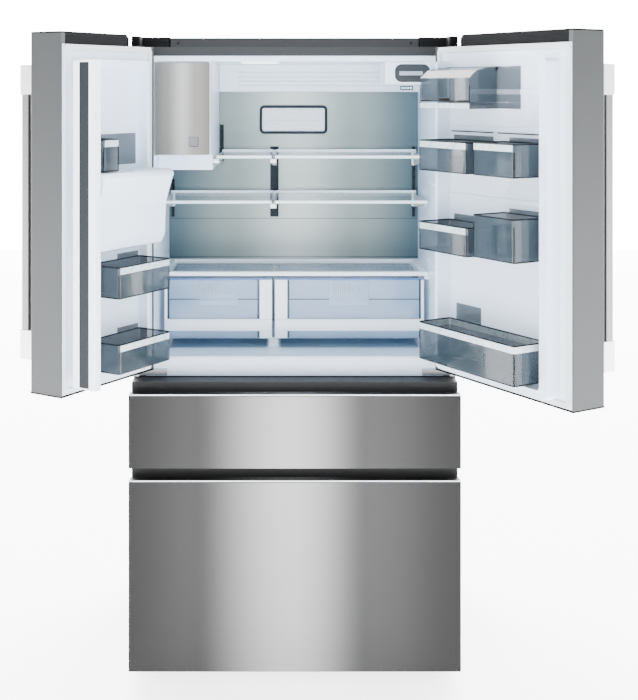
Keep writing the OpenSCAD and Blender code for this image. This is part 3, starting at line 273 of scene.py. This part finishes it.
# Colour stops (position, colour) across a face. The front, wall and ice bands are painted
# reflections of a soft studio on brushed steel: a painted highlight in the middle, darker
# towards the sides. The handle band is light on the end blocks and grey along the bar.
FRONT_REFLECTION_BAND = [(0.0, "#242424"), (1.0, "#232323"), (0.2, "#333333"),
        (0.49, "#8f8f8f"), (0.72, "#3b3b3b")]
WALL_REFLECTION_BAND = [(0.0, "#4b626b"), (1.0, "#4a616a"), (0.25, "#7c8a88"),
             (0.5, "#b4bdbc"), (0.75, "#7d8a88")]
HANDLE_BAND = [(0.0, "#f4f4f4"), (1.0, "#f4f4f4"), (0.098, "#f4f4f4"), (0.102, "#878787"),
               (0.898, "#878787"), (0.902, "#f4f4f4")]
ICE_HIGHLIGHT_BAND = [(0.0, "#686a67"), (1.0, "#666461"), (0.2, "#777876"),
            (0.5, "#a6a6a5"), (0.75, "#7d7b78")]
FINISHES = {
    # steel_front: painted reflection across the drawer fronts, bright down the middle
    "steel_front": dict(code="#a8a9a9", rough=0.36, metal=0.7, stretch=(3, 3, 900), vary=0.07,
                        bump=0.1, spec=0.25, ramp=FRONT_REFLECTION_BAND),
    "steel_door": dict(code="#484a4b", rough=0.38, metal=0.6, stretch=(3, 3, 900), vary=0.06,
                       bump=0.1, spec=0.3),
    "steel_handle": dict(code="#d2d3d3", rough=0.3, metal=0.55, stretch=(600, 600, 4), vary=0.05,
                         bump=0.08, ramp=HANDLE_BAND, ramp_axis="Z", span=(0.933, 1.694)),
    "painted_case": dict(code="#2e3134", rough=0.5, metal=0.1, stretch=(400, 400, 400), vary=0.04,
                         bump=0.12, spec=0.2),
    "foam": dict(code="#d8cf9c", rough=0.95, metal=0.0, stretch=(180, 180, 180), vary=0.1,
                 bump=0.5),
    # liner, door_liner and white_part glow a little: painted light that lifts their shaded sides;
    # they are no lamps
    "liner": dict(code="#d9ebff", rough=0.32, metal=0.0, stretch=(90, 90, 90), vary=0.015,
                  bump=0.02, coat=0.1, glow=0.14),
    "door_liner": dict(code="#dcebfc", rough=0.34, metal=0.0, stretch=(90, 90, 90), vary=0.02,
                       bump=0.02, coat=0.1, glow=0.07),
    "white_part": dict(code="#ecf6ff", rough=0.3, metal=0.0, stretch=(120, 120, 120), vary=0.015,
                       bump=0.02, coat=0.15, glow=0.06),
    "dark_cap": dict(code="#0e0f11", rough=0.6, metal=0.0, stretch=(700, 700, 700), vary=0.08,
                     bump=0.2, spec=0.06),
    "black_part": dict(code="#08090a", rough=0.5, metal=0.0, stretch=(700, 700, 700), vary=0.08,
                       bump=0.15, spec=0.15),
    "trim": dict(code="#2a2c2f", rough=0.55, metal=0.0, stretch=(700, 700, 700), vary=0.06,
                 bump=0.18, spec=0.12),
    "core": dict(code="#1c1d1e", rough=0.55, metal=0.0, stretch=(600, 600, 600), vary=0.07,
                 bump=0.15, spec=0.3),
    "zinc": dict(code="#8b8f93", rough=0.35, metal=0.85, stretch=(50, 50, 50), vary=0.08,
                 bump=0.06),
    # rear_steel: painted reflection on the rear wall, light in the middle and darker towards the
    # side walls
    "rear_steel": dict(code="#b4bab7", rough=0.4, metal=0.45, stretch=(4, 4, 700), vary=0.05,
                       bump=0.06, ramp=WALL_REFLECTION_BAND, span=(-0.399, 0.399)),
    "ladder": dict(code="#1f2931", rough=0.5, metal=0.1, stretch=(300, 300, 300), vary=0.06,
                   bump=0.1, spec=0.2),
    "arm": dict(code="#ccd4da", rough=0.4, metal=0.3, stretch=(200, 200, 200), vary=0.05,
                bump=0.06),
    "glass": dict(code="#cfe0e8", rough=0.05, metal=0.0, stretch=(8, 8, 8), vary=0.02, bump=0.0,
                  alpha=0.22, coat=0.4),
    "glass_edge": dict(code="#7fb5ae", rough=0.1, metal=0.0, stretch=(20, 20, 20), vary=0.05,
                       bump=0.0, alpha=0.85),
    # ice_grey: painted highlight down the middle of the ice compartment door
    "ice_grey": dict(code="#a5a5a3", rough=0.42, metal=0.25, stretch=(5, 5, 500), vary=0.03,
                     bump=0.05, ramp=ICE_HIGHLIGHT_BAND, span=(-0.396, -0.242)),
    "ice_button": dict(code="#6f7275", rough=0.3, metal=0.0, stretch=(200, 200, 200), vary=0.03,
                       bump=0.05),
    "clear": dict(code="#aecbea", rough=0.12, metal=0.0, stretch=(15, 15, 15), vary=0.03,
                  bump=0.02, alpha=0.38, coat=0.4),
    "smoky": dict(code="#33414b", rough=0.1, metal=0.0, stretch=(15, 15, 15), vary=0.06,
                  bump=0.02, alpha=0.45, coat=0.5),
    # painted shadow colour for the floor under the crispers
    "painted_crisper_shadow": dict(code="#86a5bb", rough=0.4, metal=0.0, stretch=(60, 60, 60), vary=0.05,
                       bump=0.02),
    "smoky_floor": dict(code="#27333c", rough=0.25, metal=0.0, stretch=(15, 15, 15), vary=0.06,
                        bump=0.02, alpha=0.62, spec=0.2),
    "smoky_edge": dict(code="#05090c", rough=0.35, metal=0.0, stretch=(60, 60, 60), vary=0.05,
                       bump=0.02, spec=0.15),
    "bin_trim": dict(code="#bccbd1", rough=0.28, metal=0.1, stretch=(60, 60, 60), vary=0.03,
                     bump=0.02, coat=0.3),
    "blue_edge": dict(code="#2a5fae", rough=0.2, metal=0.0, stretch=(60, 60, 60), vary=0.04,
                      bump=0.02, coat=0.3),
    "lens": dict(code="#fffdf2", rough=0.4, metal=0.0, stretch=(90, 90, 90), vary=0.02, bump=0.05,
                 glow=2.2),
    "grey_part": dict(code="#9aa4ab", rough=0.4, metal=0.0, stretch=(300, 300, 300), vary=0.05,
                      bump=0.08),
    "seal": dict(code="#cfd5da", rough=0.6, metal=0.0, stretch=(300, 300, 300), vary=0.04,
                 bump=0.08),
    "dark_seal": dict(code="#7d848a", rough=0.65, metal=0.0, stretch=(300, 300, 300), vary=0.05,
                      bump=0.08),
    "strip": dict(code="#1b2126", rough=0.45, metal=0.2, stretch=(500, 500, 5), vary=0.05,
                  bump=0.06, spec=0.2),
    "chassis": dict(code="#33363a", rough=0.5, metal=0.4, stretch=(250, 250, 250), vary=0.1,
                    bump=0.15),
    "copper": dict(code="#8a5f3d", rough=0.4, metal=0.8, stretch=(60, 60, 60), vary=0.12,
                   bump=0.08),
    "rubber": dict(code="#202224", rough=0.75, metal=0.0, stretch=(400, 400, 400), vary=0.1,
                   bump=0.25),
    "panel_glass": dict(code="#0d0f11", rough=0.08, metal=0.0, stretch=(20, 20, 20), vary=0.05,
                        bump=0.0, coat=0.8),
    "icon": dict(code="#cfe6ff", rough=0.4, metal=0.0, stretch=(90, 90, 90), vary=0.02, bump=0.0,
                 glow=0.8),
    "humidity": dict(code="#e9f0f5", rough=0.3, metal=0.0, stretch=(60, 60, 60), vary=0.02,
                     bump=0.02, coat=0.3),
    "filter_plate": dict(code="#34383a", rough=0.4, metal=0.1, stretch=(5, 5, 400), vary=0.04,
                         bump=0.05, spec=0.25),
}
M = {name: finish(name, **settings) for name, settings in FINISHES.items()}

LOOK = {
    "case_panels": "painted_case", "insulation": "foam",
    "fridge_liner": "liner", "drawer_liners": "liner", "crossbars": "trim", "top_trim": "trim",
    "hinge_covers": "dark_cap", "door_hinges": "zinc", "rear_wall_panel": "rear_steel",
    "duct_panel": "white_part", "shelf_ladders": "ladder", "shelf_brackets": "arm",
    "shelf_glass": "glass", "shelf_trims": "white_part", "crisper_rails": "white_part",
    "ice_box": "white_part", "ice_maker": "grey_part", "ice_bin": "clear",
    "flex_runners": "zinc", "freezer_runners": "zinc",
    "filter_housing": "white_part", "drawer_slides": "zinc", "base_frame": "chassis",
    "toe_grille": "black_part", "levelling_legs": "zinc", "compressor": "chassis",
    "condenser": "copper", "rear_ports": "black_part", "ice_cover": "ice_grey",
    "ice_button": "ice_button", "filter_cartridge": "filter_plate", "rear_rollers": "rubber",
    "condenser_fan": "black_part", "left_door_skin": "steel_door", "left_door_caps": "dark_cap",
    "left_door_liner": "door_liner", "left_door_gasket": "seal", "left_door_bins": "smoky",
    "left_handle": "steel_handle", "dispenser_housing": "black_part",
    "dispenser_paddle": "grey_part", "mullion_bar": "white_part", "mullion_strip": "strip",
    "right_door_skin": "steel_door", "right_door_caps": "dark_cap",
    "right_door_liner": "door_liner", "right_door_gasket": "seal", "right_door_bins": "smoky",
    "right_handle": "steel_handle", "dairy_box": "smoky", "dairy_lid": "smoky",
    "flex_front": "steel_front", "flex_core": "core", "flex_bin": "white_part",
    "freezer_front": "steel_front", "freezer_core": "core", "freezer_bin": "white_part",
    "freezer_basket": "white_part", "crisper_left": "clear", "crisper_right": "clear",
}
SOFT = {"fridge_liner": 2.0, "left_door_liner": 1.2, "right_door_liner": 1.2, "hinge_covers": 1.5,
        "top_trim": 1.0, "shelf_trims": 1.5, "ice_box": 1.2, "ice_cover": 1.0, "ice_button": 1.0,
        "filter_housing": 1.5, "left_handle": 2.5, "right_handle": 2.5, "mullion_bar": 1.0,
        "crisper_rails": 1.0, "flex_front": 0.5, "freezer_front": 0.5, "flex_core": 2.0,
        "freezer_core": 2.0, "dispenser_paddle": 1.2, "duct_panel": 1.0}
for node, obj in NODES.items():
    obj.data.materials.clear()
    obj.data.materials.append(M[LOOK[node]])
    if node in SOFT:
        weld = obj.modifiers.new("weld", "WELD")
        weld.merge_threshold = 0.00002
        bevel = obj.modifiers.new("soft edges", "BEVEL")
        bevel.width = SOFT[node] * MM
        bevel.segments = 2
        bevel.limit_method = "ANGLE"
        bevel.angle_limit = np.radians(50)
print("materials:", len(M), "nodes painted:", len(LOOK))

# %% [markdown]
# ## Door seals
# The seal is a magnetic bellows: a flat foot, two folds and a rounded nose. The profile
# (outward offset, depth) is carried round the door's inner panel. A curve with a bevel
# object could do the same, but a list of points keeps the sizes of the folds in sight.

# %%
SEAL_Z = (873.0, 1737.0)
SEAL_HINGE_SIDE, SEAL_FREE_SIDE = 24, 11
HALF_FOLD = [(-7.6, 107.3), (-6.2, 108.5), (-7.4, 109.6),
             (-6.6, 111.3), (-3.0, 112.0), (-0.8, 111.2)]
BELLOWS = np.array(HALF_FOLD + [(-offset, depth) for offset, depth in HALF_FOLD[::-1]])
for side, width in (("left", LEFT_W), ("right", RIGHT_W)):
    seal = ring((SEAL_HINGE_SIDE, width - SEAL_FREE_SIDE), SEAL_Z, 6, BELLOWS)
    obj = make(side + "_seal", [seal], side, side + "_door", M["seal"])
    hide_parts(side + "_door_gasket")

# %% [markdown]
# ## Door bins
# Each bin gets a rolled rim, dark bottom and corner edges, as clear plastic shows at its
# thick places, a dark floor and the light trim band along the top of its front. Refraction
# could darken those edges by itself, but it is slow and noisy, so thin rods do it here.

# %%
BIN_Y = (107.8, 212.8)


def bin_details(x, y, z, band=18.0, whole=False):
    """(rim, edges, band) of one bin: rings and rods round its outline."""
    t = np.linspace(0, 2 * np.pi, 9)[:-1]
    circle = np.stack([np.cos(t), np.sin(t)], -1)
    rim = ring(x, y, 8, 1.9 * circle + [0, z[1] - 0.5], "z")
    edges = [ring(x, y, 8, 1.6 * circle + [0, z[0] + 1.6], "z")]
    for cx in (x[0] + 2.2, x[1] - 2.2):
        edges.append(rod([(cx, y[1] - 2.2, z[0] + 2), (cx, y[1] - 2.2, z[1] - band - 1)], 1.6))
    lo = z[1] - band
    strip_profile = [(-0.4, lo), (0.8, lo), (1.0, lo + 1),
                     (1.0, z[1] - 1), (0.8, z[1]), (-0.4, z[1])]
    strip = ring(x, y, 8, strip_profile, "z")
    front = block((x[0] + 5, x[1] - 5), (y[1] - 0.6, y[1] + 1.2), (lo, z[1]), 0.6)
    return rim, edges, (strip if whole else front)


LEFT_BINS = [((68, 278), BIN_Y, (911, 986)), ((68, 278), BIN_Y, (1101, 1181)),
             ((242, 304), (BIN_Y[0], 183.8), (1421.5, 1503.5))]
RIGHT_BINS = [((68, 267), BIN_Y, (1416, 1496)), ((290, 444), BIN_Y, (1416, 1498)),
              ((68, 267), BIN_Y, (1206, 1280)), ((290, 444), BIN_Y, (1211, 1317)),
              ((68, 444), BIN_Y, (915, 1013))]
GALLON_BIN, DEEP_BIN = 4, 3
for side, bins in (("left", LEFT_BINS), ("right", RIGHT_BINS)):
    rims, edges, bands, floors = [], [], [], []
    for k, (x, y, z) in enumerate(bins):
        rim, dark, band = bin_details(x, y, z, whole=(side == "right" and k == GALLON_BIN))
        rims.append(rim)
        inside = (x[0] + 3, x[1] - 3), (y[0] + 3, y[1] - 3)
        floors.append(block(*inside, (z[0] + 2.6, z[0] + 4.2), 0.5, "z", 6))
        edges += dark
        if not (side == "right" and k == DEEP_BIN):
            bands.append(band)
    body = side + "_door"
    make(side + "_bin_rims", rims, side, body, M["smoky_edge"])
    make(side + "_bin_edges", edges, side, body, M["smoky_edge"])
    make(side + "_bin_bands", bands, side, body, M["bin_trim"])
    make(side + "_bin_floors", floors, side, body, M["smoky_floor"])
ledges = [block((x0, x1), (106.6, 110.4), (z, z + 13), 2.0, "x")
          for x0, x1, z in ((72, 458, 1522), (72, 458, 1340), (72, 300, 1618), (300, 458, 1618))]
make("right_liner_ledges", ledges, "right", "right_door", M["door_liner"])
gaps = [block(x, (106.7, 108.2), (1517, 1520), 0.6, "x") for x in ((76, 246), (262, 452))]
make("right_liner_gaps", gaps, "right", "right_door", M["black_part"])
print("bins detailed:", len(LEFT_BINS) + len(RIGHT_BINS))

# %% [markdown]
# ## Butter compartment
# A light band on the tray's front lip, a finger lip on the lid, its two hinge pins and
# the dark outline of the clear tray. The lip rides on the lid, so it swings with it. It
# could be part of the tray's outline, but then it would stay behind when the lid opens.

# %%
band = block((68, 271), (207.2, 208.6), (1581.5, 1595), 0.5)
make("dairy_band", [band], "right", "right_door", M["bin_trim"])
lip = [block((70, 269), (205.5, 208.6), (1598.5, 1603), 1.2),
       block((150, 190), (206, 210.4), (1603, 1609), 1.5)]
make("dairy_lip", lip, "right", "dairy_lid", M["smoky_edge"])
PIN_PROFILE = [(0.1, -1), (3.6, -1), (4.2, 0), (4.2, 1.2), (3.2, 1.9), (0.1, 1.9)]
pins = [lathe(PIN_PROFILE, (x, 117.8, 1685), "x") for x in (66.4, 270.6)]
make("dairy_pins", pins, "right", "right_door", M["smoky_edge"])
tray = [rod([(68.5, 207, 1640), (68.5, 207, 1583), (270.5, 207, 1583), (270.5, 207, 1640)], 1.4)]
tray += [rod([(x, 112, 1583), (x, 207, 1583)], 1.4) for x in (69.5, 269.5)]
make("dairy_outline", tray, "right", "right_door", M["smoky_edge"])
print("butter compartment done")

# %% [markdown]
# ## Handles
# A black strip behind each bar, painted shade in the gap between bar and door, and a collar
# where each end block meets the door. The strip could be a stripe in the bar's material, but
# a block has a crisp edge all round.

# %%
for side, width in (("left", LEFT_W), ("right", RIGHT_W)):
    x = width - 44
    # painted shade: a black block filling the gap between the bar and the door
    strip = block((x - 8, x + 8), (-38.2, -7), (1010.5, 1616.5), 2.0)
    make(side + "_handle_shade_strip", [strip], side, side + "_door", M["black_part"])
    collars = [block((x - 15, x + 15), (-2.4, -0.2), z, 0.8) for z in ((932, 1010), (1617, 1695))]
    make(side + "_handle_collars", collars, side, side + "_door", M["white_part"])
print("handles done")

# %% [markdown]
# ## Drawer edges
# A painted highlight in a light strip along the fold at the top of each drawer front, and
# painted shade in a dark strip under it, where the steel turns away from the light. A bump
# in the material would not stand out at a low angle, so both are strips with a real edge.

# %%
FRONT_X = (-453.2, 453.2)
for name, top in (("flex", 797), ("freezer", 562)):
    body = name + "_drawer"
    # painted highlight strip along the fold, then a painted shade strip under it
    highlight_strip = block(FRONT_X, (-0.5, 1.6), (top - 3.4, top), 0.4, "x")
    make(name + "_top_highlight", [highlight_strip], "case", body, M["humidity"])
    line = block(FRONT_X, (-0.3, 1.2), (top - 5.6, top - 3.6), 0.3, "x")
    make(name + "_top_shade_line", [line], "case", body, M["trim"])
print("drawer edges done")

# %% [markdown]
# ## Dispenser on the left door
# A dark glass control strip with plain dots for keys, a nozzle and a drip tray rim. The
# dots and the nozzle are round, so a profile is turned about an axis, as the Spin tool
# would do, but the points come out as one array with no seam to merge.

# %%
panel = block((84, 278), (-5.4, -3.6), (1304, 1404), 0.8, "y", 5)
make("dispenser_glass", [panel], "left", "left_door", M["panel_glass"])
dots = [lathe([(0.1, -6.0), (4.0, -6.0), (4.2, -5.3), (0.1, -5.3)], (x, 0, 1336), "y", 20)
        for x in np.linspace(104, 258, 6)]
dots += [block((160, 202), (-6.0, -5.3), (1364, 1376), 0.3)]
make("dispenser_icons", dots, "left", "left_door", M["icon"])
nozzle = lathe([(14, 0), (22, 0), (22, 26), (18, 30), (12, 30), (12, 3)], (181, 54, 1269), "z")
make("dispenser_nozzle", [nozzle], "left", "left_door", M["grey_part"])
rim = ring((82, 280), (1, 92), 4, [(-2, 1112), (0, 1112), (0, 1114), (-2, 1114)], "z")
make("drip_tray_rim", [rim], "left", "left_door", M["steel_handle"])
print("dispenser done")

# %% [markdown]
# ## Fresh-food compartment
# Air outlet, sensor dots, ceiling lamp, liner ribs, sill, shelf edge lines and hooks,
# the painted shadow under the crispers (a dark blue sheet on the floor where they shade it),
# rear panel lines and trim screws. Each could be an object of its own, but they stay with
# the cabinet, so pieces that share a material and a purpose are made as one object.

# %%
OUTLET_RIM = [(-8, 582.8), (0, 582.8), (0, 579), (-2, 576.4), (-6, 576.4), (-8, 579)]
rim = ring((-109, 108), (1487, 1578), 14, OUTLET_RIM)
fixed("air_outlet_rim", [rim], "ladder")
plate = block((-100.6, 99.6), (580.5, 585.8), (1495.4, 1569.6), 1.2, "y", 7)
fixed("air_outlet_plate", [plate], "humidity")
line = [block((-80, 79), (579.9, 580.8), (1530.0, 1531.0), 0.3, "x")]
fixed("air_outlet_line", line, "grey_part")
DOT_PROFILE = [(0.1, 564.5), (3.5, 564.5), (4.2, 565.4), (4.2, 566.4), (0.1, 566.4)]
dots = [lathe(DOT_PROFILE, (x, 0, 1634), "y", 20) for x in (347, 356, 365, 374)]
fixed("sensor_dots", dots, "icon")
fixed("sensor_plate", [block((340, 381), (565.4, 566.6), (1627, 1641), 0.3)], "dark_cap")
lamp = block((-151.5, -47.5), (153, 235), (1704.6, 1709.7), 2.2, "z", 14, 7)
fixed("lamp_lens", [lamp], "lens")
LAMP_RIM = [(-2.5, 1706), (0, 1706.6), (0, 1709.6), (-2.5, 1709.6)]
rim = ring((-154.5, -44.5), (150, 238), 16, LAMP_RIM, "z")
fixed("lamp_rim", [rim], "white_part")
ribs = [block((sx * 399.4 - 1.6, sx * 399.4 + 1.6), (150, 560), (z, z + 9), 1.5, "y")
        for sx in (-1, 1) for z in (1118, 1176, 1352)]
fixed("liner_ribs", ribs, "liner")
sill = block((-396, 396), (116, 126), (872.6, 875.4), 1.2, "x")
fixed("sill_edge", [sill], "white_part")
# painted shadow: a dark blue sheet on the floor under the crispers, where they shade it
crisper_shadow = [block(x, (289, 560), (863.1, 864.6), 0.6, "z", 6) for x in ((-390, -82), (-41, 390))]
fixed("under_crisper_shadow", crisper_shadow, "painted_crisper_shadow")
PANES = [((-228, -66.5), 261, 1433), ((-56.5, 390.5), 261, 1433),
         ((-391.5, -66.5), 245, 1302), ((-56.5, 390.5), 245, 1302)]
edges = [block((x[0] + 1, x[1] - 1), (y - 13.0, y - 11.8), (z - 7, z - 5.4), 0.5, "x")
         for x, y, z in PANES]
fixed("shelf_edge_lines", edges, "glass_edge")
HEAD_PROFILE = [(0.1, 112.0), (3.2, 112.0), (4.0, 112.7), (4.0, 113.2), (0.1, 113.2)]
screws = [lathe(HEAD_PROFILE, (x, 0, 1760), "y", 20) for x in (-329, 329)]
fixed("trim_screws", screws, "black_part")
hooks = [block((x - 7, x + 7), (575.0, 577.8), (z - 46, z + 3), 1.6) for x, z in
         ((-61.5, 1433), (-61.5, 1302), (384.5, 1302), (-386.5, 1302), (384.5, 1433))]
hooks += [block((x - 9, x + 9), (y, y + 14), (z - 20, z - 7.6), 2.0) for x, y, z in
          ((-61.5, 252, 1433), (-61.5, 236, 1302), (-230, 252, 1433))]
fixed("shelf_hooks", hooks, "white_part")
rear_lines = [block((-398, 398), (585.4, 586.4), (z, z + 1.2), 0.3, "x") for z in (1093, 1215)]
fixed("rear_panel_lines", rear_lines, "ladder")
print("compartment details done")

# %% [markdown]
# ## Crispers
# Each front has white posts and a handle bar, dark edges, a humidity plate with its
# grille and knob, and a thin blue line under the cover. The broad post is on the side
# towards the other crisper. A mirrored copy would not fit, because the two differ in width,
# so one loop works both out from their spans.

# %%
CRISPERS = (("crisper_left", (-384.5, -65), (-281, -166)),
            ("crisper_right", (-58, 384.5), (103, 222)))
POST_W, EDGE_W = 36, 7.5
for name, x, hum in CRISPERS:
    left_side = name == "crisper_left"
    if left_side:
        posts = [(x[1] - 1 - POST_W, x[1] - 1), (x[0] + 0.5, x[0] + 0.5 + EDGE_W)]
    else:
        posts = [(x[0] + 1, x[0] + 1 + POST_W), (x[1] - 0.5 - EDGE_W, x[1] - 0.5)]
    white = [block(e, (283.2, 285.6), (893, 1069), 1.0) for e in posts]
    white.append(block((x[0] + 1, x[1] - 1), (279.8, 285.4), (915, 950), 2.4, "x"))
    make(name + "_front_frame", white, "case", name, M["white_part"])
    inner = (posts[1][1], posts[0][0]) if left_side else (posts[0][1], posts[1][0])
    dark = [block((e, e + 3.4), (282.6, 285.2), z, 0.8)
            for e in (inner[0] + 3, inner[1] - 6.4) for z in ((895, 914), (951, 1068))]
    dark.append(block((inner[0] + 3, inner[1] - 3), (283.8, 285.2), (1007, 1009), 0.5, "x"))
    make(name + "_dark_edges", dark, "case", name, M["ladder"])
    plate = block(hum, (283.2, 285.4), (990, 1062), 1.0, "y", 5)
    knob = block((hum[0] + 76, hum[0] + 92), (280.8, 284), (1026, 1046), 1.4, "y", 4)
    make(name + "_humidity", [plate, knob], "case", name, M["clear"])
    ribs = [block((hum[0] + 10 + 6.4 * k, hum[0] + 13 + 6.4 * k), (282.6, 284), (1022, 1052), 0.5)
            for k in range(9)]
    make(name + "_ribs", ribs, "case", name, M["grey_part"])
    blue = [block((x[0] + 2, x[1] - 2), (281.6, 284.2), (1065.8, 1069), 0.8, "x")]
    make(name + "_blue_edge", blue, "case", name, M["blue_edge"])
print("crispers done")

# %% [markdown]
# ## Ice compartment and filter
# The button's outline, the box's lower front and its side seam; the filter's grip. The
# outline rides on the ice cover and the grip on the filter cartridge. All four could be
# drawn in the materials, but a raised shape catches the light from every side.

# %%
MARK_PROFILE = [(-0.8, 141.3), (0.8, 141.3), (0.8, 140.4), (-0.8, 140.4)]
mark = ring((-300, -274), (1467.5, 1493.5), 3, MARK_PROFILE)
make("ice_button_outline", [mark], "case", "ice_cover", M["ladder"])
scoop = [block((-398, -240), (238.6, 241.8), (1397, 1437), 1.5, "y", 5)]
fixed("ice_box_lower_front", scoop, "liner")
seam = [rod([(-238.4, 152, 1444), (-238.4, 152, 1706)], 0.7)]
fixed("ice_box_seam", seam, "ladder")
grip = block((306, 374), (220.6, 223.4), (1671, 1683), 2.4, "x")
make("filter_grip", [grip], "case", "filter_cartridge", M["grey_part"])
print("ice and filter done")

# %% [markdown]
# ## Drawers
# Seal bellows behind each front and a bright return edge along its top. The bellows could
# be modelled by hand, but the ring that made the door seals only needs another profile.

# %%
DRAWER_FOLDS = [(-8, 104.5), (-6, 107), (-8, 109), (-6, 111.4), (0, 112),
                (6, 111.4), (8, 109), (6, 107), (8, 104.5)]


def drawer_extra(name, z, seal):
    """Top return edge and bellows seal of one drawer."""
    edge = block((-452.5, 452.5), (0.4, 29), (z - 1.0, z - 0.05), 0.4)
    make(name + "_top_edge", [edge], "case", name, M["steel_handle"])
    bellows = ring((-425, 425), (seal[0] + 9, seal[1] - 9), 6, DRAWER_FOLDS)
    make(name + "_seal", [bellows], "case", name, M["dark_seal"])


drawer_extra("flex_drawer", 797, (602, 817))
drawer_extra("freezer_drawer", 562, (92, 588))
print("drawers done")

# %% [markdown]
# ## Stage, light and camera
# A pale floor, a bright surround and three soft lights, as in a product studio. The camera
# stands level, a little left of the centre. Turning it down towards the base would make
# upright edges lean, so the frame is shifted instead.

# %%
floor_mat = finish("floor", "#fdfdfd", 0.7, 0.0, (2, 2, 2), 0.003, 0.0, glow=3.6)
drop_mat = finish("drop", "#ffffff", 0.9, 0.0, (2, 2, 2), 0.002, 0.0, glow=13.0)


def sheet(name, corners, material):
    """One flat four-cornered sheet of the stage."""
    mesh = bpy.data.meshes.new(name)
    mesh.from_pydata(corners, [], [(0, 1, 2, 3)])
    obj = bpy.data.objects.new(name, mesh)
    obj.data.materials.append(material)
    bpy.context.scene.collection.objects.link(obj)


sheet("floor", [(-30, -12, 0), (30, -12, 0), (30, 40, 0), (-30, 40, 0)], floor_mat)
sheet("backdrop", [(-30, 9, -1), (30, 9, -1), (30, 9, 24), (-30, 9, 24)], drop_mat)

world = bpy.data.worlds.new("studio")
bpy.context.scene.world = world
world.use_nodes = True
sky = world.node_tree.nodes["Background"]
sky.inputs["Color"].default_value = (1, 1, 1, 1)
sky.inputs["Strength"].default_value = 0.85


def area(name, loc, target, size, power):
    """Square soft light at loc that faces target."""
    data = bpy.data.lights.new(name, "AREA")
    data.size, data.energy = size, power
    obj = bpy.data.objects.new(name, data)
    obj.location = loc
    obj.rotation_euler = (Vector(target) - Vector(loc)).to_track_quat("-Z", "Y").to_euler()
    bpy.context.scene.collection.objects.link(obj)


area("key", (-1.6, -3.6, 3.2), (0, 0, 1.0), 2.4, 70)
area("fill", (2.4, -3.2, 2.0), (0, 0, 0.9), 2.4, 45)
area("inside", (0, -1.6, 1.5), (0, 0.4, 1.3), 0.9, 9)

cam_data = bpy.data.cameras.new("camera")
cam_data.sensor_width = 36.0
cam_data.lens = 63.04
cam_data.shift_x = 0.0454
cam_data.shift_y = -0.3751
cam = bpy.data.objects.new("camera", cam_data)
cam.location = (-0.0206, -3.3472, 1.6356)
cam.rotation_euler = (np.pi / 2, 0, 0)
bpy.context.scene.collection.objects.link(cam)
bpy.context.scene.camera = cam
print("stage ready")
